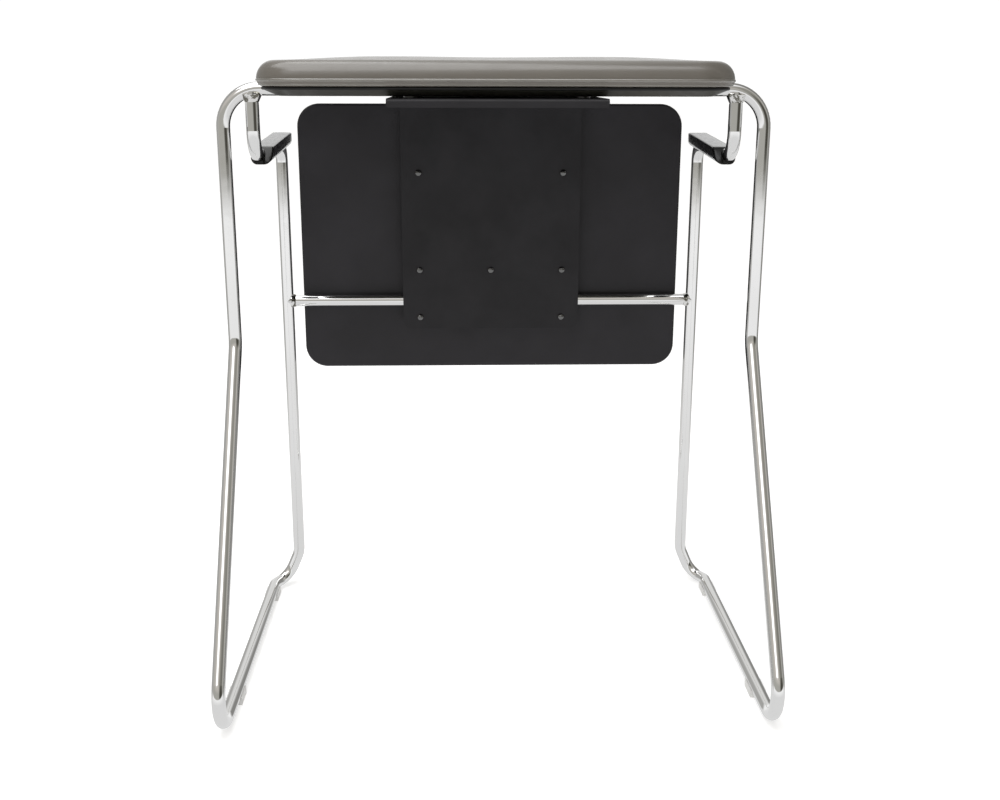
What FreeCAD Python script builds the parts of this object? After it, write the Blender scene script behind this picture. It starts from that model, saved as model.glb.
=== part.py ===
"""Perching stool on a chrome sled-base tube frame, in millimetres.

X runs across the stool, +Y from the rear posts towards the hanging panel, +Z up.
The origin is the bottom centre of the whole stool, on the floor.
Depths in the size sheet are measured from the sharp rear floor corner of the
frame, and place_y() moves them into the stool's own frame.
"""
import FreeCAD, Part
import math
import os

import Sketcher

from FreeCAD import Placement, Rotation, Vector

DRIVING_SIZES = {
    # round tube
    "tube_od": 16.0,
    "tube_wall": 1.5,
    # frame: half widths between tube centres, heights and depths of its sharp corners
    "rear_half": 316.5,
    "arm_half": 282.0,
    "runner_height": 10.0,
    "kink_depth": 249.0,
    "kink_height": 413.0,
    "jog_depth": 448.0,
    "toe_half": 300.0,
    "toe_depth": 472.0,
    "foot_height": 52.0,
    "front_depth": 467.0,
    "crossbar_height": 426.5,
    "arm_rear_height": 635.5,
    "arm_front_height": 648.0,
    "rail_height": 715.0,
    "drop_inset": 3.0,
    # centre-line bend radii
    "floor_bend": 38.0,
    "kink_bend": 35.0,
    "jog_bend": 25.0,
    "toe_bend": 24.0,
    "foot_bend": 40.0,
    "arm_bend": 30.0,
    "rail_bend": 44.0,
    # weld fillets: how far they run along the tube, and how far they flare
    "weld_root": 2.0,
    "weld_feather": 0.2,
    "rail_weld_reach": 9.0,
    "rail_weld_flare": 4.5,
    "crossbar_weld_reach": 5.5,
    "crossbar_weld_flare": 2.0,
    # moulded arm pads around the arm tubes
    "pad_width": 26.0,
    "pad_skin": 1.5,
    "pad_cover": 9.0,
    "pad_rear_top": 289.0,
    "pad_rear_bottom": 268.0,
    "pad_front": 454.0,
    "pad_belly": 9.0,
    # folded sheet bracket
    "sheet_gauge": 3.0,
    "bracket_half": 121.5,
    "bracket_rear": 148.0,
    "bracket_top": 706.0,
    "bracket_lip": 9.5,
    "bracket_lip_bend": 2.5,
    "bracket_lip_corner": 3.5,
    "bracket_bottom": 388.5,
    "bracket_corner": 11.0,
    "bracket_bend": 6.0,
    # hanging panel
    "panel_half": 261.0,
    "panel_bottom": 330.0,
    "panel_top": 693.0,
    "panel_thick": 12.0,
    "panel_corner": 30.0,
    "panel_rim": 3.0,
    "panel_skin": 2.0,
    # panel fasteners
    "fixing_half": 98.0,
    "fixing_high": 602.5,
    "fixing_middle": 470.3,
    "fixing_low": 404.3,
    "fixing_head_radius": 4.6,
    "fixing_head_rise": 3.2,
    "fixing_shank_radius": 2.5,
    "fixing_bush_radius": 6.0,
    "fixing_barrel_radius": 3.5,
    "fixing_nut_radius": 6.5,
    "fixing_nut_rise": 2.5,
    # seat
    "seat_half": 267.0,
    "seat_rear": 150.0,
    "seat_front": 487.0,
    "seat_corner": 46.0,
    "seat_top": 751.0,
    "seat_edge": 14.0,
    "cover_bottom": 715.0,
    "cover_gauge": 1.5,
    "pan_inset": 7.0,
    "pan_bottom": 708.0,
    "pan_deck_under": 723.5,
    "pan_deck_top": 727.0,
    "pan_wall": 20.0,
    "pan_taper_high": 7.0,
    "pan_taper_in": 16.5,
    "pan_taper_round": 5.0,
    "pan_notch_clearance": 0.5,
    # seat screws
    "seat_fixing_half": 95.0,
    "seat_fixing_rear": 190.0,
    "seat_fixing_front": 425.0,
    "seat_bush_radius": 9.0,
    "seat_shank_radius": 3.0,
    "seat_head_radius": 6.0,
    "seat_head_rise": 3.2,
    "seat_nut_radius": 8.0,
    "seat_nut_rise": 4.0,
    "seat_nut_crown": 1.0,
    # split saddles that hold the top rail
    "saddle_at": 60.0,
    "saddle_length": 44.0,
    "saddle_depth": 42.0,
    "saddle_bolt_offset": 14.5,
    "saddle_bolt_radius": 2.5,
    "saddle_head_radius": 4.5,
    "saddle_head_rise": 2.5,
    "saddle_bolt_stop": 3.0,
    # glides under the runners
    "glide_rear": 128.0,
    "glide_front": 422.0,
    "glide_length": 30.0,
    "glide_width": 19.0,
    # fits
    "hole_clearance": 0.25,
    "grip_clearance": 0.05,
}

UP = Vector(0, 0, 1)
ACROSS = Vector(1, 0, 0)
TOWARDS_PANEL = Vector(0, 1, 0)
SIDES = {"left": -1, "right": 1}
PICK_MARGIN = 0.1  # slack when an edge is chosen by where it lies

doc = FreeCAD.newDocument("perching_stool")
sheet = doc.addObject("Spreadsheet::Sheet", "Sizes")
node_names = []


def write_cell(row, alias, value):
    sheet.set(f"A{row}", alias)
    sheet.set(f"B{row}", f"{value:.6f}")
    sheet.setAlias(f"B{row}", alias)


def middle_depth(s):
    """Depth of the stool's middle, from its rearmost tube bend to its foremost nut."""
    leg_angle = math.atan2(s["kink_height"] - s["runner_height"], s["kink_depth"])
    tangent_length = s["floor_bend"] / math.tan(leg_angle / 2)
    rearmost = tangent_length - s["floor_bend"] - s["tube_od"] / 2
    panel_face = s["front_depth"] + s["tube_od"] / 2
    foremost = panel_face + s["panel_thick"] + s["fixing_nut_rise"]
    return (rearmost + foremost) / 2


for row_number, (size_name, size_value) in enumerate(DRIVING_SIZES.items(), start=1):
    write_cell(row_number, size_name, size_value)
write_cell(len(DRIVING_SIZES) + 1, "middle", middle_depth(DRIVING_SIZES))
doc.recompute()


def size(name):
    return float(sheet.get(name))


def place_y(depth):
    """A depth from the rear floor corner, in the stool's own frame."""
    return depth - size("middle")


tube_radius = size("tube_od") / 2
plate_back = size("front_depth") - tube_radius
panel_face = size("front_depth") + tube_radius


# ---------------------------------------------------------------- helpers

def keep(item, name):
    """Gives a sub-part its label and lists it for export."""
    item.Label = name
    node_names.append((name, item))
    return item


def feature(shape, name):
    """A sub-part whose shape is made by Part's own functions."""
    item = doc.addObject("Part::Feature", name)
    item.Shape = shape
    item.Placement = Placement()
    return item


def bind(item, **expressions):
    for prop, expression in expressions.items():
        item.setExpression(prop, expression)


def cylinder(radius, height, place):
    """A Part cylinder whose radius and height follow the size sheet."""
    item = doc.addObject("Part::Cylinder", "cylinder")
    bind(item, Radius=radius, Height=height)
    item.Placement = place
    return item


def dome(radius, rise, place):
    """Half an ellipsoid: the rounded head of a screw or nut."""
    item = doc.addObject("Part::Ellipsoid", "dome")
    bind(item, Radius1=rise, Radius2=radius, Radius3=radius)
    item.Angle1 = 0
    item.Angle2 = 90
    item.Placement = place
    return item


def box(length, width, height, place):
    item = doc.addObject("Part::Box", "box")
    bind(item, Length=length, Width=width, Height=height)
    item.Placement = place
    return item


def cut(base, tool):
    item = doc.addObject("Part::Cut", "cut")
    item.Base = base
    item.Tool = tool
    return item


def fuse(*parts):
    item = doc.addObject("Part::MultiFuse", "fuse")
    item.Shapes = list(parts)
    return item


def group(parts, name):
    """Identical separate solids that share one node."""
    item = doc.addObject("Part::Compound", name)
    item.Links = parts
    return keep(item, name)


def facing(direction, x, y, z):
    """A placement that turns local +Z to a direction."""
    return Placement(Vector(x, y, z), Rotation(UP, direction))


def origin_plane(body, role):
    return next(plane for plane in body.Origin.OriginFeatures if plane.Role == role)


def centred_rectangle(body, role, width, height, name):
    """A rectangle centred on the body's origin, bound to the size sheet."""
    sketch = body.newObject("Sketcher::SketchObject", name)
    sketch.AttachmentSupport = (origin_plane(body, role), [""])
    sketch.MapMode = "FlatFace"
    corners = [Vector(-10, -10, 0), Vector(10, -10, 0), Vector(10, 10, 0), Vector(-10, 10, 0)]
    for index in range(4):
        sketch.addGeometry(Part.LineSegment(corners[index], corners[(index + 1) % 4]))
    for index in range(4):
        sketch.addConstraint(Sketcher.Constraint("Coincident", index, 2, (index + 1) % 4, 1))
    for index in range(4):
        direction = "Horizontal" if index % 2 == 0 else "Vertical"
        sketch.addConstraint(Sketcher.Constraint(direction, index))
    sketch.addConstraint(Sketcher.Constraint("Symmetric", 0, 1, 1, 2, -1, 1))
    width_index = sketch.addConstraint(Sketcher.Constraint("DistanceX", 0, 1, 0, 2, 20))
    height_index = sketch.addConstraint(Sketcher.Constraint("DistanceY", 1, 1, 1, 2, 20))
    sketch.renameConstraint(width_index, "width")
    sketch.renameConstraint(height_index, "height")
    sketch.setExpression("Constraints.width", width)
    sketch.setExpression("Constraints.height", height)
    return sketch


def edges_along(shape, direction):
    """Names of the straight edges that run along a direction."""
    names = []
    for index, edge in enumerate(shape.Edges, start=1):
        if isinstance(edge.Curve, Part.Line) and abs(edge.Curve.Direction.dot(direction)) > 0.999:
            names.append(f"Edge{index}")
    return names


def edges_at(shape, axis, value):
    """Names of the edges that lie wholly at one value along an axis (0, 1 or 2)."""
    names = []
    for index, edge in enumerate(shape.Edges, start=1):
        box_low = (edge.BoundBox.XMin, edge.BoundBox.YMin, edge.BoundBox.ZMin)[axis]
        box_high = (edge.BoundBox.XMax, edge.BoundBox.YMax, edge.BoundBox.ZMax)[axis]
        if abs(box_low - value) < 0.01 and abs(box_high - value) < 0.01:
            names.append(f"Edge{index}")
    return names


def fillet(body, base, edge_names, radius):
    item = body.newObject("PartDesign::Fillet", "Fillet")
    item.Base = (base, edge_names)
    item.Radius = 1
    item.setExpression("Radius", radius)
    doc.recompute()
    return item


def taper(body, base, edge_names, high, inward):
    """A two-distance chamfer that tapers a board's lower edge inward."""
    item = body.newObject("PartDesign::Chamfer", "Taper")
    item.Base = (base, edge_names)
    item.ChamferType = "Two distances"
    item.Size = 1
    item.Size2 = 1
    item.setExpression("Size", high)
    item.setExpression("Size2", inward)
    doc.recompute()
    return item


def rounded_board(name, role, width, height, thick, corner, normal):
    """A board with rounded corners, centred on its own origin, growing along its normal."""
    body = doc.addObject("PartDesign::Body", name)
    outline = centred_rectangle(body, role, width, height, "Outline")
    pad = body.newObject("PartDesign::Pad", "Board")
    pad.Profile = outline
    pad.setExpression("Length", thick)
    doc.recompute()
    if pad.Shape.BoundBox.Center.dot(normal) < 0:
        pad.Reversed = True
        doc.recompute()
    fillet(body, pad, edges_along(pad.Shape, normal), corner)
    return body


# ---------------------------------------------------------------- bent tubes

def bent_path(corners, radii):
    """Straight runs joined by tangent arcs, one arc at each inner corner."""
    edges = []
    run_start = corners[0]
    for before, corner, after, radius in zip(corners, corners[1:], corners[2:], radii):
        back = (before - corner).normalize()
        ahead = (after - corner).normalize()
        half_angle = back.getAngle(ahead) / 2
        tangent_length = radius / math.tan(half_angle)
        bisector = (back + ahead).normalize()
        centre = corner + bisector * (radius / math.sin(half_angle))
        arc_start = corner + back * tangent_length
        arc_end = corner + ahead * tangent_length
        if (arc_start - run_start).Length > 1e-6:
            edges.append(Part.LineSegment(run_start, arc_start).toShape())
        edges.append(Part.Arc(arc_start, centre - bisector * radius, arc_end).toShape())
        run_start = arc_end
    if (corners[-1] - run_start).Length > 1e-6:
        edges.append(Part.LineSegment(run_start, corners[-1]).toShape())
    return Part.Wire(edges)


def round_bar(path, radius):
    """A solid round bar along a path."""
    first = path.OrderedEdges[0]
    direction = first.tangentAt(first.FirstParameter)
    start = first.valueAt(first.FirstParameter)
    section = Part.Wire([Part.makeCircle(radius, start, direction)])
    return path.makePipeShell([section], True, True)


def tube_along(corners, radii):
    path = bent_path(corners, radii)
    bar = round_bar(path, tube_radius)
    return bar.cut(round_bar(path, tube_radius - size("tube_wall")))


def tangent_length(before, corner, after, radius):
    angle = (before - corner).getAngle(after - corner)
    return radius / math.tan(angle / 2)


def towards(point, target, distance):
    return point + (target - point).normalize() * distance


def side_corners(side):
    """The sharp corners of one side of the frame, from the top rail round to the drop."""
    rear = side * size("rear_half")
    arm = side * size("arm_half")
    rail = size("rail_height")
    return {
        "rail_bend": Vector(rear, place_y(size("kink_depth")), rail),
        "kink": Vector(rear, place_y(size("kink_depth")), size("kink_height")),
        "floor": Vector(rear, place_y(0), size("runner_height")),
        "jog": Vector(rear, place_y(size("jog_depth")), size("runner_height")),
        "toe": Vector(side * size("toe_half"), place_y(size("toe_depth")), size("runner_height")),
        "foot": Vector(arm, place_y(size("front_depth")), size("foot_height")),
        "arm_front": Vector(arm, place_y(size("front_depth")), size("arm_front_height")),
        "arm_rear": Vector(arm, place_y(size("kink_depth")), size("arm_rear_height")),
        "drop_top": Vector(arm, place_y(size("kink_depth")), rail - size("drop_inset")),
    }


def rail_corners():
    left = side_corners(-1)["rail_bend"]
    right = side_corners(1)["rail_bend"]
    drop = UP * -size("rail_bend")
    return [left + drop, left, right, right + drop]


rail_bar = round_bar(bent_path(rail_corners(), [size("rail_bend")] * 2), tube_radius)


def make_top_rail():
    shape = tube_along(rail_corners(), [size("rail_bend")] * 2)
    keep(feature(shape, "top_rail"), "top_rail")


def leg_foot(side):
    """Where the rear leg ends and the runner's floor bend starts."""
    c = side_corners(side)
    return towards(c["floor"], c["kink"], tangent_length(c["kink"], c["floor"], c["jog"], size("floor_bend")))


def front_leg_low(side):
    c = side_corners(side)
    return c["foot"] + UP * tangent_length(c["toe"], c["foot"], c["arm_front"], size("foot_bend"))


def front_leg_high(side):
    c = side_corners(side)
    return c["arm_front"] - UP * tangent_length(c["foot"], c["arm_front"], c["arm_rear"], size("arm_bend"))


def make_rear_leg(name, side):
    """Upright post and slanting leg, with a tight kink between them."""
    c = side_corners(side)
    top = c["rail_bend"] - UP * size("rail_bend")
    shape = tube_along([top, c["kink"], leg_foot(side)], [size("kink_bend")])
    keep(feature(shape, name), name)


def make_runner(name, side):
    """Floor bend, floor runner, inward jog, and the toe that rises into the front leg."""
    c = side_corners(side)
    corners = [leg_foot(side), c["floor"], c["jog"], c["toe"], c["foot"], front_leg_low(side)]
    bends = [size(f"{bend}_bend") for bend in ("floor", "jog", "toe", "foot")]
    shape = tube_along(corners, bends)
    keep(feature(shape, name), name)


def front_leg_bar(side):
    return round_bar(bent_path([front_leg_low(side), front_leg_high(side)], []), tube_radius)


def make_front_leg(name, side):
    shape = tube_along([front_leg_low(side), front_leg_high(side)], [])
    keep(feature(shape, name), name)


def arm_path(side):
    c = side_corners(side)
    corners = [front_leg_high(side), c["arm_front"], c["arm_rear"], c["drop_top"]]
    return bent_path(corners, [size("arm_bend")] * 2)


def make_arm_tube(name, side):
    """Arm and drop, coped where the drop meets the underside of the top rail."""
    path = arm_path(side)
    hollow = round_bar(path, tube_radius).cut(round_bar(path, tube_radius - size("tube_wall")))
    keep(feature(hollow.cut(rail_bar), name), name)


def make_crossbar():
    """Straight tube between the front legs, coped to both."""
    ends = []
    for side in SIDES.values():
        leg = front_leg_low(side)
        ends.append(Vector(leg.x, leg.y, size("crossbar_height")))
    shape = tube_along(ends, [])
    for side in SIDES.values():
        shape = shape.cut(front_leg_bar(side))
    keep(feature(shape, "crossbar"), "crossbar")


def weld_ring(centre, direction, kind, cuts):
    """A conical fillet of weld that widens towards the tube it meets."""
    root_radius = tube_radius + size(f"{kind}_weld_flare")
    tip_radius = tube_radius + size("weld_feather")
    ring = Part.makeCone(root_radius, tip_radius, size(f"{kind}_weld_reach"), centre, direction)
    for tool in cuts:
        ring = ring.cut(tool)
    return ring


def make_rail_welds():
    rings = []
    for side in SIDES.values():
        c = side_corners(side)
        top = Vector(c["drop_top"].x, c["drop_top"].y, size("rail_height") - tube_radius + size("weld_root"))
        rings.append(weld_ring(top, UP * -1, "rail", [rail_bar, round_bar(arm_path(side), tube_radius)]))
    keep(feature(Part.makeCompound(rings), "rail_welds"), "rail_welds")


def make_crossbar_welds():
    """Small fillets where the crossbar meets the front legs."""
    bar_length = 2 * size("arm_half")
    start = Vector(-size("arm_half"), place_y(size("front_depth")), size("crossbar_height"))
    bar = Part.makeCylinder(tube_radius, bar_length, start, ACROSS)
    rings = []
    for side in SIDES.values():
        centre = Vector(side * (size("arm_half") - tube_radius + size("weld_root")), start.y, start.z)
        rings.append(weld_ring(centre, ACROSS * -side, "crossbar", [front_leg_bar(side), bar]))
    keep(feature(Part.makeCompound(rings), "crossbar_welds"), "crossbar_welds")


# ---------------------------------------------------------------- arm pads

def make_arm_pad(name, side):
    """Moulded pad around the arm tube: flat top, rounded belly, raked rear end, set in from the tube."""
    c = side_corners(side)
    slope = (c["arm_front"].z - c["arm_rear"].z) / (c["arm_front"].y - c["arm_rear"].y)
    outer_face = c["arm_rear"].x + side * (tube_radius + size("pad_skin"))

    def on_arm(depth, offset):
        y = place_y(depth)
        return Vector(outer_face, y, c["arm_rear"].z + slope * (y - c["arm_rear"].y) + offset)

    below = -tube_radius - size("pad_skin")
    profile = [
        on_arm(size("pad_rear_bottom"), below),
        on_arm(size("pad_front"), below),
        on_arm(size("pad_front"), size("pad_cover")),
        on_arm(size("pad_rear_top"), size("pad_cover")),
    ]
    outline = Part.makePolygon(profile + profile[:1])
    block = Part.Face(outline).extrude(ACROSS * (-side * size("pad_width")))
    belly = [edge for edge in block.Edges
             if edge.Length > size("pad_width") + PICK_MARGIN
             and edge.BoundBox.ZMax < profile[1].z + PICK_MARGIN]
    block = block.makeFillet(size("pad_belly"), belly)
    bore = round_bar(arm_path(side), tube_radius + size("grip_clearance"))
    keep(feature(block.cut(bore), name), name)


# ---------------------------------------------------------------- sheet bracket

def panel_fixings():
    """X and Z of the seven panel fasteners."""
    half = size("fixing_half")
    rows = [
        ("fixing_high", (-half, half)),
        ("fixing_middle", (-half, 0, half)),
        ("fixing_low", (-half, half)),
    ]
    return [(x, size(row)) for row, columns in rows for x in columns]


def seat_fixings():
    half = size("seat_fixing_half")
    depths = [size("seat_fixing_rear"), size("seat_fixing_front")]
    return [(x, place_y(depth)) for x in (-half, half) for depth in depths]


def saddle_centres():
    return [-size("saddle_at"), size("saddle_at")]


def saddle_bolts():
    rail = place_y(size("kink_depth"))
    offset = size("saddle_bolt_offset")
    return [(x, rail + sign * offset) for x in saddle_centres() for sign in (-1, 1)]


def make_support_bracket():
    """One folded sheet: rear lip, level leg under the seat, bend, and hanging plate."""
    gauge = size("sheet_gauge")
    bend = size("bracket_bend")
    rear = place_y(size("bracket_rear"))
    plate_outer = place_y(plate_back)
    top = size("bracket_top")
    lip = top - size("bracket_lip")
    centre_line = [
        Vector(0, rear + gauge / 2, lip),
        Vector(0, rear + gauge / 2, top - gauge / 2),
        Vector(0, plate_outer - gauge / 2, top - gauge / 2),
        Vector(0, plate_outer - gauge / 2, size("bracket_bottom")),
    ]
    path = bent_path(centre_line, [size("bracket_lip_bend"), bend])
    half = size("bracket_half")
    start = centre_line[0]
    section = Part.makePolygon([
        start + Vector(-half, -gauge / 2, 0),
        start + Vector(half, -gauge / 2, 0),
        start + Vector(half, gauge / 2, 0),
        start + Vector(-half, gauge / 2, 0),
        start + Vector(-half, -gauge / 2, 0),
    ])
    sheet_metal = path.makePipeShell([section], True, True)
    plate_corners = [edge for edge in sheet_metal.Edges
                     if edge.BoundBox.ZMax < size("bracket_bottom") + PICK_MARGIN
                     and edge.BoundBox.XLength < PICK_MARGIN]
    sheet_metal = sheet_metal.makeFillet(size("bracket_corner"), plate_corners)
    lip_corners = [edge for edge in sheet_metal.Edges
                   if edge.BoundBox.ZMax < lip + PICK_MARGIN
                   and edge.BoundBox.XLength < PICK_MARGIN
                   and edge.BoundBox.YMax < rear + gauge + PICK_MARGIN]
    sheet_metal = sheet_metal.makeFillet(size("bracket_lip_corner"), lip_corners)
    clearance = size("hole_clearance")
    for x, z in panel_fixings():
        place = Vector(x, plate_outer - 2 * gauge, z)
        radius = size("fixing_shank_radius") + clearance
        sheet_metal = sheet_metal.cut(Part.makeCylinder(radius, 3 * gauge, place, TOWARDS_PANEL))
    holes = [(x, y, size("seat_shank_radius")) for x, y in seat_fixings()]
    holes += [(x, y, size("saddle_bolt_radius")) for x, y in saddle_bolts()]
    for x, y, radius in holes:
        place = Vector(x, y, top - 2 * gauge)
        sheet_metal = sheet_metal.cut(Part.makeCylinder(radius + clearance, 3 * gauge, place, UP))
    keep(feature(sheet_metal, "support_bracket"), "support_bracket")


# ---------------------------------------------------------------- panel and its fasteners

def make_panel():
    """Flat moulded board with rounded corners and a soft rim, drilled for its nuts."""
    body = rounded_board("panel_board", "XZ_Plane", "2 * Sizes.panel_half",
                         "Sizes.panel_top - Sizes.panel_bottom", "Sizes.panel_thick",
                         "Sizes.panel_corner", TOWARDS_PANEL)
    for value in (0.0, size("panel_thick")):
        fillet(body, body.Tip, edges_at(body.Shape, 1, value), "Sizes.panel_rim")
    middle_height = (size("panel_top") + size("panel_bottom")) / 2
    body.Placement = Placement(Vector(0, place_y(panel_face), middle_height), Rotation())
    drills = [cylinder("Sizes.fixing_barrel_radius", "2 * Sizes.panel_thick",
                       facing(TOWARDS_PANEL, x, place_y(panel_face) - size("panel_skin"), z))
              for x, z in panel_fixings()]
    keep(cut(body, fuse(*drills)), "panel")


def make_panel_spacers():
    """Bushes as long as the crossbar is thick, one at each fastener."""
    bushes = []
    for x, z in panel_fixings():
        place = facing(TOWARDS_PANEL, x, place_y(plate_back), z)
        outer = cylinder("Sizes.fixing_bush_radius", "Sizes.tube_od", place)
        inner = cylinder("Sizes.fixing_shank_radius + Sizes.hole_clearance", "Sizes.tube_od", place)
        bushes.append(cut(outer, inner))
    group(bushes, "panel_spacers")


def make_panel_screws():
    """Domed screws with their heads on the outside of the bracket."""
    screws = []
    for x, z in panel_fixings():
        head_seat = place_y(plate_back - size("sheet_gauge"))
        head = dome("Sizes.fixing_head_radius", "Sizes.fixing_head_rise",
                    facing(TOWARDS_PANEL * -1, x, head_seat, z))
        shank = cylinder("Sizes.fixing_shank_radius",
                         "Sizes.sheet_gauge + Sizes.tube_od + Sizes.panel_thick - Sizes.panel_skin",
                         facing(TOWARDS_PANEL, x, head_seat, z))
        screws.append(fuse(head, shank))
    group(screws, "panel_screws")


def make_panel_nuts():
    """Barrel nuts let into the panel, with a low dome on its far face."""
    nuts = []
    for x, z in panel_fixings():
        far_face = place_y(panel_face + size("panel_thick"))
        cap = dome("Sizes.fixing_nut_radius", "Sizes.fixing_nut_rise", facing(TOWARDS_PANEL, x, far_face, z))
        barrel = cylinder("Sizes.fixing_barrel_radius", "Sizes.panel_thick - Sizes.panel_skin",
                          facing(TOWARDS_PANEL * -1, x, far_face, z))
        bore = cylinder("Sizes.fixing_shank_radius", "Sizes.panel_thick - Sizes.panel_skin",
                        facing(TOWARDS_PANEL * -1, x, far_face - size("panel_skin"), z))
        nuts.append(cut(fuse(cap, barrel), bore))
    group(nuts, "panel_nuts")


# ---------------------------------------------------------------- seat

SEAT_DEPTH = "(Sizes.seat_front - Sizes.seat_rear)"


def seat_board(name, inset, low, high):
    """A seat-shaped layer, set in from the seat's outline."""
    body = rounded_board(name, "XY_Plane", f"2 * (Sizes.seat_half - {inset})",
                         f"{SEAT_DEPTH} - 2 * {inset}", f"{high} - {low}",
                         f"Sizes.seat_corner - {inset}", UP)
    body.setExpression("Placement.Base.z", low)
    body.setExpression("Placement.Base.y", "(Sizes.seat_front + Sizes.seat_rear) / 2 - Sizes.middle")
    return body


def seat_drills(radius, low, height):
    return fuse(*[cylinder(radius, height, facing(UP, x, y, low)) for x, y in seat_fixings()])


def make_seat_pan():
    """Moulded pan, open underneath, tapered below, with a notch in each end for the top rail."""
    outer = seat_board("pan_outside", "Sizes.pan_inset", "Sizes.pan_bottom", "Sizes.pan_deck_top")
    taper(outer, outer.Tip, edges_at(outer.Tip.Shape, 2, 0), "Sizes.pan_taper_high", "Sizes.pan_taper_in")
    fillet(outer, outer.Tip, edges_at(outer.Tip.Shape, 2, 0), "Sizes.pan_taper_round")
    inner = seat_board("pan_inside", "(Sizes.pan_inset + Sizes.pan_wall)",
                       "Sizes.pan_bottom", "Sizes.pan_deck_under")
    notch_side = place_y(size("kink_depth")) - tube_radius - size("pan_notch_clearance")
    notch = box("2 * Sizes.seat_half", "Sizes.tube_od + 2 * Sizes.pan_notch_clearance",
                "Sizes.pan_deck_under - Sizes.pan_bottom",
                Placement(Vector(-size("seat_half"), notch_side, size("pan_bottom")), Rotation()))
    drills = seat_drills("Sizes.seat_shank_radius + Sizes.hole_clearance", size("pan_bottom"),
                         "2 * (Sizes.pan_deck_top - Sizes.pan_bottom)")
    keep(cut(outer, fuse(inner, notch, drills)), "seat_pan")


def make_seat_cushion():
    """Foam over the pan and its upholstered cover."""
    foam_outer = seat_board("foam_outside", "Sizes.cover_gauge", "Sizes.cover_bottom",
                            "(Sizes.seat_top - Sizes.cover_gauge)")
    pan_room = seat_board("pan_room", "Sizes.pan_inset", "Sizes.pan_bottom", "Sizes.pan_deck_top")
    foam_thick = size("seat_top") - size("cover_gauge") - size("cover_bottom")
    fillet(foam_outer, foam_outer.Tip, edges_at(foam_outer.Tip.Shape, 2, foam_thick),
           "Sizes.seat_edge - Sizes.cover_gauge")
    nut_room = seat_drills("Sizes.seat_nut_radius", size("pan_deck_top"), "Sizes.seat_nut_rise")
    keep(cut(foam_outer, fuse(pan_room, nut_room)), "seat_foam")
    cover_outer = seat_board("cover_outside", "0", "Sizes.cover_bottom", "Sizes.seat_top")
    cover_thick = size("seat_top") - size("cover_bottom")
    fillet(cover_outer, cover_outer.Tip, edges_at(cover_outer.Tip.Shape, 2, cover_thick), "Sizes.seat_edge")
    keep(cut(cut(cover_outer, foam_outer), pan_room), "seat_cover")


def make_seat_fixings():
    """Bushes between bracket and pan, screws from below and nuts on the pan's deck."""
    bushes = []
    screws = []
    nuts = []
    head_seat = size("bracket_top") - size("sheet_gauge")
    for x, y in seat_fixings():
        place = facing(UP, x, y, size("bracket_top"))
        outer = cylinder("Sizes.seat_bush_radius", "Sizes.pan_deck_under - Sizes.bracket_top", place)
        inner = cylinder("Sizes.seat_shank_radius + Sizes.hole_clearance",
                         "Sizes.pan_deck_under - Sizes.bracket_top", place)
        bushes.append(cut(outer, inner))
        head = dome("Sizes.seat_head_radius", "Sizes.seat_head_rise", facing(UP * -1, x, y, head_seat))
        shank = cylinder("Sizes.seat_shank_radius",
                         "Sizes.pan_deck_top + Sizes.seat_nut_rise - Sizes.seat_nut_crown"
                         " - Sizes.bracket_top + Sizes.sheet_gauge",
                         facing(UP, x, y, head_seat))
        screws.append(fuse(head, shank))
        nut_place = facing(UP, x, y, size("pan_deck_top"))
        nut = cylinder("Sizes.seat_nut_radius", "Sizes.seat_nut_rise", nut_place)
        thread = cylinder("Sizes.seat_shank_radius", "Sizes.seat_nut_rise - Sizes.seat_nut_crown", nut_place)
        nuts.append(cut(nut, thread))
    group(bushes, "seat_spacers")
    group(screws, "seat_screws")
    group(nuts, "seat_nuts")


# ---------------------------------------------------------------- rail saddles

SADDLE_BOLT_DEPTH = "Sizes.pan_deck_under - Sizes.bracket_top - Sizes.saddle_bolt_stop"


def saddle_half(x, low, high):
    """Half of a saddle block, with its share of the bore for the top rail."""
    rail = place_y(size("kink_depth"))
    place = Placement(Vector(x - size("saddle_length") / 2, rail - size("saddle_depth") / 2, size(low)),
                      Rotation())
    block = box("Sizes.saddle_length", "Sizes.saddle_depth", f"Sizes.{high} - Sizes.{low}", place)
    bore = cylinder("Sizes.tube_od / 2 + Sizes.grip_clearance", "Sizes.saddle_length",
                    facing(ACROSS, x - size("saddle_length") / 2, rail, size("rail_height")))
    tools = [bore]
    for bolt_x, bolt_y in saddle_bolts():
        if abs(bolt_x - x) < PICK_MARGIN:
            tools.append(cylinder("Sizes.saddle_bolt_radius", SADDLE_BOLT_DEPTH,
                                  facing(UP, bolt_x, bolt_y, size("bracket_top"))))
    return cut(block, fuse(*tools))


def make_saddles():
    group([saddle_half(x, "bracket_top", "rail_height") for x in saddle_centres()], "saddle_lower")
    group([saddle_half(x, "rail_height", "pan_deck_under") for x in saddle_centres()], "saddle_upper")
    bolts = []
    head_seat = size("bracket_top") - size("sheet_gauge")
    for x, y in saddle_bolts():
        head = dome("Sizes.saddle_head_radius", "Sizes.saddle_head_rise",
                    facing(UP * -1, x, y, head_seat))
        shank = cylinder("Sizes.saddle_bolt_radius", f"{SADDLE_BOLT_DEPTH} + Sizes.sheet_gauge",
                         facing(UP, x, y, head_seat))
        bolts.append(fuse(head, shank))
    group(bolts, "saddle_bolts")


# ---------------------------------------------------------------- glides

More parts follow.
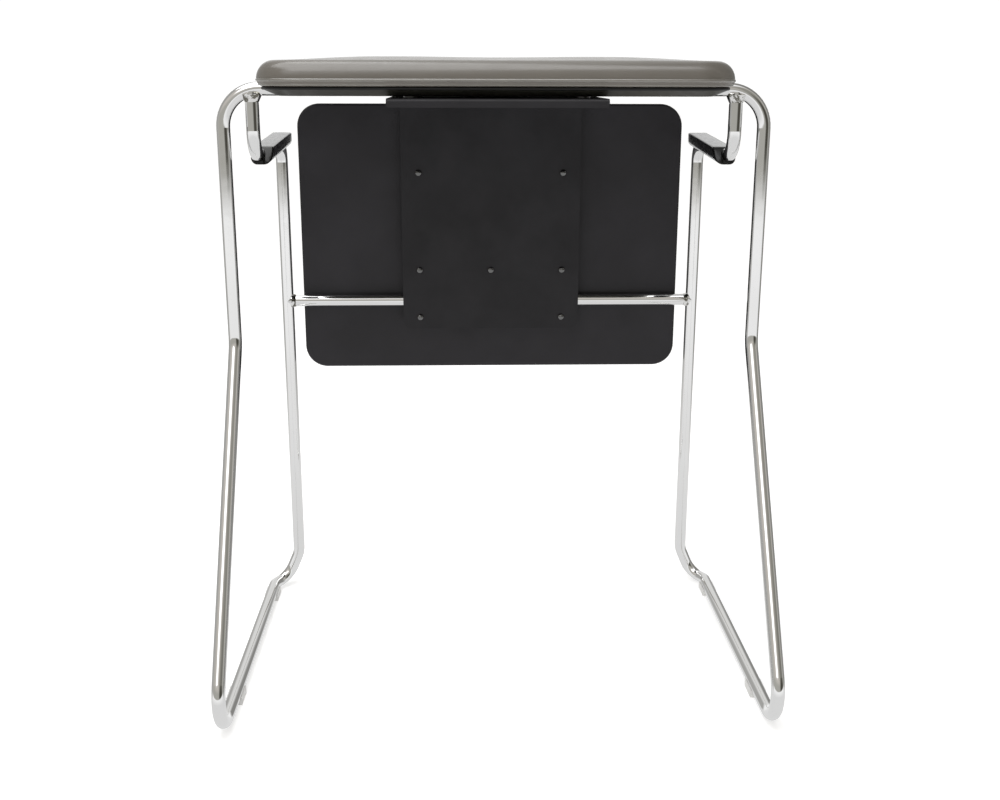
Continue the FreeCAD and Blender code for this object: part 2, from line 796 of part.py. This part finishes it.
def make_glide(name, side, depth):
    """Nylon shoe clipped round the lower half of a runner."""
    x = side * size("rear_half")
    y = place_y(depth)
    block = box("Sizes.glide_width", "Sizes.glide_length", "Sizes.runner_height",
                Placement(Vector(x - size("glide_width") / 2, y - size("glide_length") / 2, 0), Rotation()))
    groove = cylinder("Sizes.tube_od / 2 + Sizes.grip_clearance", "Sizes.glide_length",
                      facing(TOWARDS_PANEL, x, y - size("glide_length") / 2, size("runner_height")))
    keep(cut(block, groove), name)


# ---------------------------------------------------------------- assembly

make_top_rail()
for side_name, side_sign in SIDES.items():
    make_rear_leg(f"{side_name}_rear_leg", side_sign)
    make_runner(f"{side_name}_runner", side_sign)
    make_front_leg(f"{side_name}_front_leg", side_sign)
    make_arm_tube(f"{side_name}_arm_tube", side_sign)
    make_arm_pad(f"{side_name}_arm_pad", side_sign)
    make_glide(f"{side_name}_rear_glide", side_sign, size("glide_rear"))
    make_glide(f"{side_name}_front_glide", side_sign, size("glide_front"))
make_crossbar()
make_rail_welds()
make_crossbar_welds()
make_support_bracket()
make_panel()
make_panel_spacers()
make_panel_screws()
make_panel_nuts()
make_seat_pan()
make_seat_cushion()
make_seat_fixings()
make_saddles()
doc.recompute()

for item in doc.Objects:
    if "Invalid" in item.State or "Error" in item.State:
        raise RuntimeError(f"{item.Label} failed: {item.State}")

os.makedirs("parts", exist_ok=True)
for node_name, item in node_names:
    if item.Shape.isNull() or not item.Shape.isValid():
        raise RuntimeError(f"{node_name} has no valid shape")
    item.Shape.exportStep(f"parts/{node_name}.step")
    volume = item.Shape.Volume / 1000
    print(f"{node_name}: {len(item.Shape.Solids)} solids, {volume:.2f} cm3")

whole = FreeCAD.BoundBox()
for _, item in node_names:
    whole.add(item.Shape.optimalBoundingBox())
print(f"x {whole.XMin:.2f} {whole.XMax:.2f}")
print(f"y {whole.YMin:.2f} {whole.YMax:.2f}")
print(f"z {whole.ZMin:.2f} {whole.ZMax:.2f}")
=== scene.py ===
"""Looks for the perching stool: materials, upholstery, moulded pads, studio and camera."""
import math

import bmesh
import bpy
import numpy as np
from mathutils import Matrix, Vector


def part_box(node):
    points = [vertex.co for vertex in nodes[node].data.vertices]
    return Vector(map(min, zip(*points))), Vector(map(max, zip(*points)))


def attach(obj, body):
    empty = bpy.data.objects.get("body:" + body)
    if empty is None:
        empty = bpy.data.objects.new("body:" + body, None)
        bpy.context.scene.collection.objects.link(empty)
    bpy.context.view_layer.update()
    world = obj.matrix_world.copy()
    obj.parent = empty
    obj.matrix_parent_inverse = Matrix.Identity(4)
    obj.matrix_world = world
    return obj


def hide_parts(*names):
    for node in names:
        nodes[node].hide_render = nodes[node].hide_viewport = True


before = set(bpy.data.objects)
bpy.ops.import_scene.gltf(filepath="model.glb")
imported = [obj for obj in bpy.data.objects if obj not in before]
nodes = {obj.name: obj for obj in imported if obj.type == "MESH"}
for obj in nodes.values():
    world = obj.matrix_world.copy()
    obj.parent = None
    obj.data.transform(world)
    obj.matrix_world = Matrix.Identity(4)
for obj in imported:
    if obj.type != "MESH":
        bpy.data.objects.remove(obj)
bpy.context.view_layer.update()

MM = 0.001
SIDES = {"left": -1, "right": 1}


# ---------------------------------------------------------------- node helpers

class Nodes:
    """Short calls for the usual nodes of a material or the world."""

    def __init__(self, tree, place):
        self.tree = tree
        self.place = place

    def add(self, kind, **inputs):
        node = self.tree.nodes.new(kind)
        for socket, value in inputs.items():
            self.feed(node.inputs[socket.replace("_", " ")], value)
        return node

    def feed(self, socket, value):
        if isinstance(value, bpy.types.NodeSocket):
            self.tree.links.new(value, socket)
        else:
            socket.default_value = value

    def noise(self, scale, detail=3.0, roughness=0.5, stretch=(1, 1, 1)):
        where = self.add("ShaderNodeVectorMath")
        where.operation = "MULTIPLY"
        self.feed(where.inputs[0], self.place)
        self.feed(where.inputs[1], stretch)
        node = self.add("ShaderNodeTexNoise", Vector=where.outputs["Vector"], Scale=scale,
                        Detail=detail, Roughness=roughness)
        return node.outputs["Fac"]

    def cells(self, scale, feature="F1"):
        node = self.add("ShaderNodeTexVoronoi", Vector=self.place, Scale=scale)
        node.feature = feature
        return node.outputs["Distance"]

    def ramp(self, value, from_low, from_high, to_low=0.0, to_high=1.0, smooth=False):
        node = self.add("ShaderNodeMapRange", Value=value)
        node.interpolation_type = "SMOOTHSTEP" if smooth else "LINEAR"
        for index, number in enumerate((from_low, from_high, to_low, to_high), start=1):
            node.inputs[index].default_value = number
        return node.outputs["Result"]

    def mix(self, factor, first, second):
        node = self.add("ShaderNodeMix")
        node.data_type = "RGBA"
        self.feed(node.inputs["Factor"], factor)
        # a Mix node holds sockets for every data type; 6, 7 and 2 are its colours
        self.feed(node.inputs[6], first)
        self.feed(node.inputs[7], second)
        return node.outputs[2]

    def math(self, operation, first, second=0.0):
        node = self.add("ShaderNodeMath")
        node.operation = operation
        self.feed(node.inputs[0], first)
        self.feed(node.inputs[1], second)
        return node.outputs["Value"]


class Material(Nodes):
    """A principled material. Its keywords set the shader's own sockets."""

    def __init__(self, name, **sockets):
        self.material = bpy.data.materials.new(name)
        self.material.use_nodes = True
        super().__init__(self.material.node_tree, None)
        self.shader = self.tree.nodes["Principled BSDF"]
        self.place = self.add("ShaderNodeNewGeometry").outputs["Position"]
        for socket, value in sockets.items():
            self.set(socket.replace("_", " "), value)

    def set(self, socket, value):
        self.feed(self.shader.inputs[socket], value)

    def bump(self, height, distance, strength):
        node = self.add("ShaderNodeBump", Height=height, Distance=distance, Strength=strength)
        self.set("Normal", node.outputs["Normal"])


def grey(value, warmth=0.0):
    """A near-neutral colour; warmth above zero leans to olive, below to blue-violet."""
    return (value * (1 + warmth), value * (1 + warmth * 0.6), value * (1 - warmth), 1)


# ---------------------------------------------------------------- materials

def make_chrome():
    """Bright plating with faint ripples and smears."""
    chrome = Material("chrome_plate", Metallic=1.0)
    tone = chrome.ramp(chrome.noise(7.0, 2.0), 0.35, 0.65)
    chrome.set("Base Color", chrome.mix(tone, grey(0.84, 0.004), grey(0.88)))
    chrome.set("Roughness", chrome.ramp(chrome.noise(90.0, 5.0, 0.65), 0.45, 0.75, 0.04, 0.09))
    chrome.bump(chrome.noise(30.0, 2.0), 0.15 * MM, 0.3)
    return chrome


def make_weld():
    """Plated weld beads with scorched patches."""
    weld = Material("chrome_weld", Metallic=1.0)
    beads = weld.noise(380.0, 3.0, 0.6)
    scorch = weld.ramp(weld.noise(150.0, 3.0, 0.6), 0.46, 0.54, smooth=True)
    weld.set("Base Color", weld.mix(scorch, grey(0.16, 0.10), grey(0.84, 0.01)))
    weld.set("Roughness", weld.ramp(beads, 0.35, 0.7, 0.07, 0.16))
    weld.bump(beads, 0.7 * MM, 0.5)
    return weld


def make_powder_coat():
    """Fine orange-peel black on the bracket."""
    coat = Material("powder_coat", Specular_IOR_Level=0.25)
    cloud = coat.ramp(coat.noise(14.0, 3.0), 0.35, 0.65)
    dark = (0.0158, 0.0150, 0.0172, 1)
    light = (0.0212, 0.0203, 0.0232, 1)
    coat.set("Base Color", coat.mix(cloud, dark, light))
    coat.set("Roughness", coat.ramp(coat.noise(60.0, 4.0), 0.35, 0.65, 0.40, 0.50))
    coat.bump(coat.noise(1500.0, 3.0, 0.6), 0.25 * MM, 0.35)
    return coat


def make_panel_shell():
    """Grained black moulding, a little lighter in slow clouds."""
    shell = Material("panel_shell", Specular_IOR_Level=0.28)
    cloud = shell.ramp(shell.noise(9.0, 4.0), 0.35, 0.65)
    dark = (0.0188, 0.0176, 0.0206, 1)
    light = (0.0256, 0.0240, 0.0284, 1)
    shell.set("Base Color", shell.mix(cloud, dark, light))
    shell.set("Roughness", shell.ramp(shell.noise(22.0, 4.0), 0.35, 0.65, 0.34, 0.44))
    grain = shell.math("ADD", shell.cells(1100.0), shell.noise(2400.0, 2.0))
    shell.bump(grain, 0.18 * MM, 0.3)
    return shell


def make_moulded(name, dark, light, low, high, **sockets):
    """Fine-grained moulded plastic, or a plain coat on metal."""
    plastic = Material(name, **sockets)
    cloud = plastic.ramp(plastic.noise(30.0, 3.0), 0.35, 0.65)
    plastic.set("Base Color", plastic.mix(cloud, dark, light))
    plastic.set("Roughness", plastic.ramp(plastic.noise(120.0, 3.0), 0.35, 0.65, low, high))
    plastic.bump(plastic.noise(1300.0, 3.0), 0.18 * MM, 0.3)
    return plastic


def make_upholstery():
    """Smooth glossy leather: fine pebble, creases between the pebbles, drifting tone."""
    leather = Material("upholstery_leather", Coat_Weight=0.5, Coat_Roughness=0.16)
    drift = leather.ramp(leather.noise(5.0, 3.0), 0.35, 0.65)
    dark = (0.118, 0.107, 0.092, 1)
    light = (0.138, 0.126, 0.109, 1)
    leather.set("Base Color", leather.mix(drift, dark, light))
    pebble = leather.ramp(leather.cells(720.0, "SMOOTH_F1"), 0.0, 0.75, 1.0, 0.0)
    creases = leather.ramp(leather.cells(260.0, "DISTANCE_TO_EDGE"), 0.0, 0.12)
    leather.set("Roughness", leather.ramp(leather.noise(45.0, 4.0), 0.35, 0.65, 0.30, 0.38))
    leather.bump(leather.math("MULTIPLY", pebble, creases), 0.2 * MM, 0.2)
    return leather


def make_arm_rubber():
    """Glossy black skin over a fine pebble."""
    rubber = Material("arm_pad_skin", Coat_Weight=0.8, Coat_Roughness=0.11, Coat_IOR=1.3,
                      Specular_IOR_Level=0.15)
    cloud = rubber.ramp(rubber.noise(40.0, 3.0), 0.35, 0.65)
    rubber.set("Base Color", rubber.mix(cloud, grey(0.0055, 0.03), grey(0.0085, 0.03)))
    rubber.set("Roughness", rubber.ramp(rubber.noise(150.0, 3.0), 0.35, 0.65, 0.26, 0.36))
    rubber.bump(rubber.cells(1400.0), 0.1 * MM, 0.15)
    return rubber


def make_zinc():
    """Dull plating on the hidden bolts and nuts."""
    zinc = Material("zinc_plate", Metallic=1.0)
    tone = zinc.ramp(zinc.noise(300.0, 4.0), 0.35, 0.65)
    zinc.set("Base Color", zinc.mix(tone, grey(0.50, 0.01), grey(0.66, 0.01)))
    zinc.set("Roughness", zinc.ramp(tone, 0.0, 1.0, 0.25, 0.4))
    zinc.bump(zinc.noise(700.0, 2.0, stretch=(1, 1, 0.1)), 0.15 * MM, 0.3)
    return zinc


upholstery = make_upholstery()
arm_rubber = make_arm_rubber()
# painted highlight: the piping is coloured lighter than the leather so the bright line along the welts
# shows
piping = make_moulded("piping_painted_highlight", (0.135, 0.126, 0.110, 1), (0.165, 0.155, 0.136, 1), 0.16, 0.22,
                      Coat_Weight=1.0, Coat_Roughness=0.06, Specular_IOR_Level=1.0)
# painted shadow: a near-black material for the cord that stands in for the shaded gap between the
# cushion and the pan
shadow_gap_black = make_moulded("shadow_gap_black", grey(0.006), grey(0.009), 0.30, 0.40, Specular_IOR_Level=0.3)
pan_plastic = make_moulded("pan_plastic", grey(0.026, 0.12), grey(0.034, 0.14), 0.36, 0.46,
                           Specular_IOR_Level=0.25)
black_nickel = make_moulded("black_nickel", grey(0.16), grey(0.22), 0.14, 0.22, Metallic=1.0)
black_fixing = make_moulded("black_fixing", grey(0.008), grey(0.012), 0.12, 0.2, Coat_Weight=0.6)
glide_nylon = make_moulded("glide_nylon", grey(0.72, 0.01), grey(0.80, 0.01), 0.35, 0.5)
TUBES = ["top_rail", "crossbar"] + [f"{side}_{part}" for side in SIDES
                                    for part in ("rear_leg", "runner", "front_leg", "arm_tube")]
GLIDES = [f"{side}_{end}_glide" for side in SIDES for end in ("rear", "front")]
BLACK_FIXINGS = ["panel_spacers", "panel_nuts", "seat_spacers", "seat_screws", "saddle_lower",
                 "saddle_upper"]
FINISHES = [
    (TUBES, make_chrome()),
    (["rail_welds", "crossbar_welds"], make_weld()),
    (["support_bracket"], make_powder_coat()),
    (["panel"], make_panel_shell()),
    (["seat_pan"], pan_plastic),
    (["panel_screws"], black_nickel),
    (BLACK_FIXINGS, black_fixing),
    (["saddle_bolts", "seat_nuts"], make_zinc()),
    (GLIDES, glide_nylon),
]
for names, finish in FINISHES:
    for name in names:
        mesh = nodes[name].data
        mesh.materials.clear()
        mesh.materials.append(finish.material)


# ---------------------------------------------------------------- mesh helpers

MERGE_DISTANCE = 0.005 * MM


def new_object(name, points, faces, material):
    """A smooth-shaded mesh object with merged points and one material."""
    mesh = bpy.data.meshes.new(name)
    mesh.from_pydata([tuple(point) for point in points], [], faces)
    mesh.materials.append(material.material)
    bm = bmesh.new()
    bm.from_mesh(mesh)
    bmesh.ops.remove_doubles(bm, verts=bm.verts, dist=MERGE_DISTANCE)
    bmesh.ops.recalc_face_normals(bm, faces=bm.faces)
    bm.to_mesh(mesh)
    bm.free()
    mesh.shade_smooth()
    item = bpy.data.objects.new(name, mesh)
    bpy.context.scene.collection.objects.link(item)
    return item


def apply_modifiers(item):
    """Turns what the modifiers make of an object into its own mesh."""
    bpy.context.view_layer.update()
    evaluated = item.evaluated_get(bpy.context.evaluated_depsgraph_get())
    mesh = bpy.data.meshes.new_from_object(evaluated)
    item.modifiers.clear()
    item.data = mesh
    mesh.shade_smooth()


def skin_rings(rings, low_cap=True, high_cap=True):
    """Faces between rings of equal length, and across the first and last rings."""
    count = len(rings[0])
    points = [point for ring in rings for point in ring]
    faces = []
    for level in range(len(rings) - 1):
        for index in range(count):
            after = (index + 1) % count
            low = level * count
            high = low + count
            faces.append((low + index, low + after, high + after, high + index))
    if low_cap:
        faces.append(tuple(reversed(range(count))))
    if high_cap:
        faces.append(tuple(range(len(points) - count, len(points))))
    return points, faces


def rounded_outline(half_x, half_y, corner, straight_steps, corner_steps):
    """Points round a rounded rectangle, the same count for every size."""
    signs = [(1, 1), (-1, 1), (-1, -1), (1, -1)]
    points = []
    for quadrant, (sign_x, sign_y) in enumerate(signs):
        start = math.pi / 2 * quadrant
        centre = Vector((sign_x * (half_x - corner), sign_y * (half_y - corner)))
        for step in range(corner_steps + 1):
            angle = start + math.pi / 2 * step / corner_steps
            points.append(centre + Vector((math.cos(angle), math.sin(angle))) * corner)
        next_x, next_y = signs[(quadrant + 1) % 4]
        next_centre = Vector((next_x * (half_x - corner), next_y * (half_y - corner)))
        end = start + math.pi / 2
        out = Vector((math.cos(end), math.sin(end))) * corner
        for step in range(1, straight_steps):
            points.append(centre.lerp(next_centre, step / straight_steps) + out)
    return points


# ---------------------------------------------------------------- seat cushion

cover_low, cover_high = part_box("seat_cover")
seat_half = Vector(((cover_high.x - cover_low.x) / 2, (cover_high.y - cover_low.y) / 2))
seat_middle = (cover_high.y + cover_low.y) / 2
SEAT_CORNER = 46 * MM
TIGHTEST_CORNER = 5 * MM
STRAIGHT_STEPS = 26
CORNER_STEPS = 10
CROWN = 5.0 * MM
CROWN_INSET = 9.0 * MM
CLOTH_PRESSURE = 4.0
CLOTH_FRAMES = 20
BENDING_STIFFNESS = 5
# the edge in section, in millimetres over the cover's lower edge: a tuck inside the pan's wall,
# a tight quarter ellipse up to the widest line, and a fuller one from there to the top
TUCK = [(44.0, 10.5), (30.0, 10.5), (19.0, 10.4), (13.0, 9.0), (10.5, 6.0), (9.0, 3.8)]
WIDEST_HEIGHT = 10.7
UNDER_INSET = 6.5
UNDER_DROP = 7.5
NOSE_INSET = 20.0
NOSE_RISE = 20.6
TOP_INSETS = [24.0, 30.0, 38.0]
UNDER_STEPS = 5
NOSE_STEPS = 12
TOP_STEPS = 16
FREE_RINGS = 8  # how many of the edge's last rings Cloth may lift


def edge_profile():
    """Inset and height of every ring of the edge, in millimetres, from the tuck to the top."""
    rings = list(TUCK)
    for step in range(UNDER_STEPS, 0, -1):
        angle = math.pi / 2 * step / UNDER_STEPS
        rings.append((UNDER_INSET * (1 - math.cos(angle)), WIDEST_HEIGHT - UNDER_DROP * math.sin(angle)))
    for step in range(NOSE_STEPS + 1):
        angle = math.pi / 2 * step / NOSE_STEPS
        rings.append((NOSE_INSET * (1 - math.cos(angle)), WIDEST_HEIGHT + NOSE_RISE * math.sin(angle)))
    return rings + [(inset, WIDEST_HEIGHT + NOSE_RISE) for inset in TOP_INSETS]


def seat_ring(inset, height):
    """Points round the seat, inset from its outline, at a height over the cover's lower edge."""
    corner = max(SEAT_CORNER - inset, TIGHTEST_CORNER)
    half_x = seat_half.x - inset
    half_y = seat_half.y - inset
    outline = rounded_outline(half_x, half_y, corner, STRAIGHT_STEPS, CORNER_STEPS)
    return [Vector((point.x, point.y + seat_middle, cover_low.z + height)) for point in outline]


def seat_top_rings(last, steps):
    """Rings that shrink from the last edge ring to a line along the middle of the seat."""
    spine = seat_half.x - seat_half.y
    rings = []
    for step in range(1, steps + 1):
        ring = []
        for point in last:
            nearest = Vector((max(-spine, min(spine, point.x)), seat_middle, point.z))
            ring.append(point.lerp(nearest, step / steps))
        rings.append(ring)
    return rings


def swell(item, fixed, pressure):
    """How far Cloth lifts each point of a closed shell whose first points are held."""
    before = [vertex.co.z for vertex in item.data.vertices]
    item.vertex_groups.new(name="fixed").add(list(range(fixed)), 1.0, "REPLACE")
    settings = item.modifiers.new("Cloth", "CLOTH").settings
    settings.vertex_group_mass = "fixed"
    settings.use_pressure = True
    settings.uniform_pressure_force = pressure
    settings.effector_weights.gravity = 0
    settings.bending_stiffness = BENDING_STIFFNESS
    scene = bpy.context.scene
    for frame_number in range(1, CLOTH_FRAMES + 1):
        scene.frame_set(frame_number)
    swollen = item.evaluated_get(bpy.context.evaluated_depsgraph_get()).data
    lifts = [max(0.0, vertex.co.z - low) for vertex, low in zip(swollen.vertices, before)]
    item.modifiers.clear()
    item.vertex_groups.clear()
    scene.frame_set(1)
    return lifts


def smooth_crown(item, lifts):
    """The nearest smooth crown to the lifts, level at the top's edge and free of wrinkles."""
    reach_x = seat_half.x - CROWN_INSET
    reach_y = seat_half.y - CROWN_INSET
    modes = []
    for vertex in item.data.vertices:
        across = min(1.0, (vertex.co.x / reach_x) ** 2)
        along = min(1.0, ((vertex.co.y - seat_middle) / reach_y) ** 2)
        fade = ((1 - across) * (1 - along)) ** 2
        on_top = vertex.co.z > cover_low.z + WIDEST_HEIGHT * MM
        modes.append([fade * on_top * mode for mode in (1, across, along, across * along)])
    modes = np.array(modes)
    weights = np.linalg.lstsq(modes, np.array(lifts), rcond=None)[0]
    return (modes @ weights).tolist()


def make_seat_cushion():
    """Bull-nosed slab with a crowned top, a tight lower edge and a tuck inside the pan."""
    rings = [seat_ring(inset * MM, height * MM) for inset, height in edge_profile()]
    fixed = (len(rings) - FREE_RINGS) * len(rings[0])
    rings += seat_top_rings(rings[-1], TOP_STEPS)
    points, faces = skin_rings(rings, high_cap=False)
    cushion = new_object("seat_cushion", points, faces, upholstery)
    lifts = swell(cushion, fixed, CLOTH_PRESSURE)
    # a soft cap, which no lift passes
    lifts = [CROWN * (1 - math.exp(-lift / CROWN)) for lift in lifts]
    lifts = smooth_crown(cushion, lifts)
    scale = CROWN / max(lifts)
    for vertex, lift in zip(cushion.data.vertices, lifts):
        vertex.co.z = min(vertex.co.z + lift * scale, cover_high.z)
    return cushion


seat_cushion = make_seat_cushion()
subdivide = seat_cushion.modifiers.new("Subdivision", "SUBSURF")
subdivide.levels = 1
subdivide.render_levels = 1
apply_modifiers(seat_cushion)
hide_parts("seat_cover", "seat_foam")
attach(seat_cushion, "root")


WELT_SIDES = 10


def make_welt(name, inset, height, radius, material):
    """A fine round welt right round the seat, placed in millimetres as the edge is."""
    path = seat_ring(inset * MM, height * MM)
    up = Vector((0, 0, 1))
    rings = []
    for index, point in enumerate(path):
        ahead = (path[(index + 1) % len(path)] - path[index - 1]).normalized()
        out = ahead.cross(up)
        angles = [math.tau * step / WELT_SIDES for step in range(WELT_SIDES)]
        spokes = [out * math.cos(angle) + up * math.sin(angle) for angle in angles]
        rings.append([point + spoke * radius * MM for spoke in spokes])
    points, faces = skin_rings(rings + rings[:1], low_cap=False, high_cap=False)
    piece = new_object(name, points, faces, material)
    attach(piece, "root")


# these welts are real ridges; their lighter colour is a painted highlight
make_welt("seat_welt", 1.1, 10.2, 1.9, piping)
make_welt("seam_welt", 2.7, 5.3, 1.1, piping)
# painted shadow: this black cord paints the dark shaded gap between the cushion's lower edge and the pan
make_welt("pan_shadow_gap_cord", 7.0, 1.4, 1.9, shadow_gap_black)


# ---------------------------------------------------------------- arm pads

PAD_THICK = 18.5 * MM
PAD_RAKE = 21.0 * MM
PAD_BELLY = 9.0 * MM
PAD_SHOULDER = 2.2 * MM
PAD_END = 1.4 * MM
PAD_END_SHOULDER = 0.3 * PAD_END
PAD_ARC_POINTS = 8
PAD_STATIONS = 24


def pad_section(low_x, high_x):
    """X and height round a pad's section: flat top, rounded belly."""
    corners = [
        (low_x + PAD_BELLY, PAD_BELLY, PAD_BELLY),
        (high_x - PAD_BELLY, PAD_BELLY, PAD_BELLY),
        (high_x - PAD_SHOULDER, PAD_THICK - PAD_SHOULDER, PAD_SHOULDER),
        (low_x + PAD_SHOULDER, PAD_THICK - PAD_SHOULDER, PAD_SHOULDER),
    ]
    points = []
    for corner, (x, height, radius) in enumerate(corners):
        for step in range(PAD_ARC_POINTS):
            angle = math.pi / 2 * (2 + corner + step / (PAD_ARC_POINTS - 1))
            points.append((x + radius * math.cos(angle), height + radius * math.sin(angle)))
    return points


def make_arm_pad(side):
    """Moulded pad: flat top, rounded belly, small radii and a raked rear end."""
    low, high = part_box(f"{side}_arm_pad")
    length = high.y - low.y
    slope = (high.z - low.z - PAD_THICK) / length
    half_width = (high.x - low.x) / 2
    middle_x = (low.x + high.x) / 2
    # each station is a distance along the pad and how far its section is shrunk
    rear = [(0.0, PAD_END), (PAD_END_SHOULDER, PAD_END_SHOULDER), (PAD_END, 0.0)]
    stations = rear + [(length * step / PAD_STATIONS, 0.0) for step in range(1, PAD_STATIONS)]
    stations += [(length - along, inset) for along, inset in reversed(rear)]
    rings = []
    for along, inset in stations:
        ring = []
        for x, height in pad_section(low.x, high.x):
            x = middle_x + (x - middle_x) * (1 - inset / half_width)
            height = PAD_THICK / 2 + (height - PAD_THICK / 2) * (1 - 2 * inset / PAD_THICK)
            start = low.y + PAD_RAKE * height / PAD_THICK
            y = start + (high.y - start) * along / length
            ring.append(Vector((x, y, low.z + slope * (y - low.y) + height)))
        rings.append(ring)
    points, faces = skin_rings(rings)
    pad = new_object(f"{side}_arm_grip", points, faces, arm_rubber)
    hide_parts(f"{side}_arm_pad")
    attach(pad, "root")


for side in SIDES:
    make_arm_pad(side)


# ---------------------------------------------------------------- studio

def make_floor():
    """White paper that glows a little and isn't seen in reflections."""
    reach = 60.0
    points = [(-reach, -reach, 0), (reach, -reach, 0), (reach, reach, 0), (-reach, reach, 0)]
    paper = Material("paper_floor", Roughness=0.8, Specular_IOR_Level=0.0, Emission_Strength=0.50)
    shade = paper.ramp(paper.noise(0.8, 2.0), 0.3, 0.7)
    paper.set("Base Color", paper.mix(shade, grey(0.90), grey(0.92)))
    paper.set("Emission Color", grey(1.0))
    floor = new_object("studio_floor", points, [(0, 1, 2, 3)], paper)
    floor.visible_glossy = False


def make_world():
    """White room for the camera; for reflections a pale floor and walls with dark flags."""
    world = bpy.data.worlds.new("studio")
    bpy.context.scene.world = world
    world.use_nodes = True
    room = Nodes(world.node_tree, None)
    facing = room.add("ShaderNodeTexCoord").outputs["Generated"]
    split = room.add("ShaderNodeSeparateXYZ", Vector=facing)
    x, y, z = (split.outputs[axis] for axis in "XYZ")
    squares = room.math("ADD", room.math("MULTIPLY", x, x), room.math("MULTIPLY", y, y))
    level = room.math("MAXIMUM", room.math("SQRT", squares), 0.001)
    away = room.math("DIVIDE", y, level)

    def blob(direction, inner, outer):
        """One within the inner angle of a direction, falling to nought at the outer angle."""
        node = room.add("ShaderNodeVectorMath")
        node.operation = "DOT_PRODUCT"
        room.feed(node.inputs[0], facing)
        room.feed(node.inputs[1], Vector(direction).normalized())
        edge = math.cos(math.radians(outer))
        core = math.cos(math.radians(inner))
        return room.ramp(node.outputs["Value"], edge, core, smooth=True)

    # floor, walls and ceiling, with the far half of the room brighter than the near half
    far = room.ramp(away, -0.25, 0.30, smooth=True)
    floor_tone = room.mix(room.ramp(z, -0.38, -0.14), grey(0.76), grey(0.96))
    wall_tone = room.mix(far, grey(0.40, 0.05), grey(0.95))
    above_tone = room.mix(far, (0.57, 0.54, 0.50, 1), grey(0.74, 0.01))
    colour = room.mix(room.ramp(z, -0.115, -0.075), floor_tone, wall_tone)
    colour = room.mix(room.ramp(z, 0.16, 0.45, smooth=True), colour, above_tone)
    colour = room.mix(room.ramp(z, 0.75, 0.92, smooth=True), colour, grey(1.0))
    # dark flags on both sides, darker on the right, but not straight ahead or down at the floor
    flag_start = room.ramp(away, -0.22, 0.12, smooth=True)
    flag_end = room.ramp(away, 0.97, 0.88, smooth=True)
    flags = room.math("MULTIPLY", flag_start, flag_end)
    flags = room.math("MULTIPLY", flags, room.ramp(z, -0.34, -0.18, smooth=True))
    flag_tone = room.mix(room.ramp(x, -0.4, 0.4), grey(0.30, 0.03), grey(0.13, 0.06))
    colour = room.mix(room.math("MULTIPLY", flags, 0.85), colour, flag_tone)
    # a lamp high on the near left, a dim patch on the near right and a dark one below it
    colour = room.mix(blob((-0.30, -0.64, 0.71), 8, 22), colour, grey(1.9))
    colour = room.mix(blob((0.60, -0.60, 0.52), 12, 32), colour, grey(0.27, 0.07))
    low_dark = room.math("MULTIPLY", blob((0.72, -0.66, 0.0), 10, 34), room.ramp(z, -0.10, -0.06))
    colour = room.mix(low_dark, colour, grey(0.06, 0.12))
    reflected = room.add("ShaderNodeBackground", Color=colour, Strength=1.0)
    seen = room.add("ShaderNodeBackground", Color=grey(1.0), Strength=1.05)
    mix = room.add("ShaderNodeMixShader")
    room.feed(mix.inputs["Fac"], room.add("ShaderNodeLightPath").outputs["Is Camera Ray"])
    room.feed(mix.inputs[1], reflected.outputs["Background"])
    room.feed(mix.inputs[2], seen.outputs["Background"])
    room.feed(world.node_tree.nodes["World Output"].inputs["Surface"], mix.outputs["Shader"])


def area_light(name, place, target, width, height, power):
    """A rectangular lamp turned to its target."""
    data = bpy.data.lights.new(name, "AREA")
    data.shape = "RECTANGLE"
    data.size = width
    data.size_y = height
    data.energy = power
    item = bpy.data.objects.new(name, data)
    bpy.context.scene.collection.objects.link(item)
    item.location = place
    item.rotation_euler = (Vector(target) - Vector(place)).to_track_quat("-Z", "Y").to_euler()


def make_camera():
    """Camera at seat height, a little left of the middle, looking down on the stool."""
    pitch = math.radians(15.26)
    yaw = math.radians(1.92)
    roll = math.radians(0.14)
    place = (-0.0420, -1.4427, 0.7326)
    data = bpy.data.cameras.new("camera")
    data.sensor_width = 36.0
    data.lens = 43.11
    data.clip_end = 200
    item = bpy.data.objects.new("camera", data)
    bpy.context.scene.collection.objects.link(item)
    heading = Matrix.Rotation(-yaw, 4, "Z")
    tilt = Matrix.Rotation(math.pi / 2 - pitch, 4, "X")
    lean = Matrix.Rotation(roll, 4, "Z")
    item.matrix_world = Matrix.Translation(place) @ heading @ tilt @ lean
    bpy.context.scene.camera = item


make_floor()
make_world()
area_light("top_softbox", (-0.45, -0.1, 2.4), (-0.1, 0.1, 0.4), 2.2, 1.6, 27)
make_camera()
bpy.context.scene.view_settings.view_transform = "Standard"
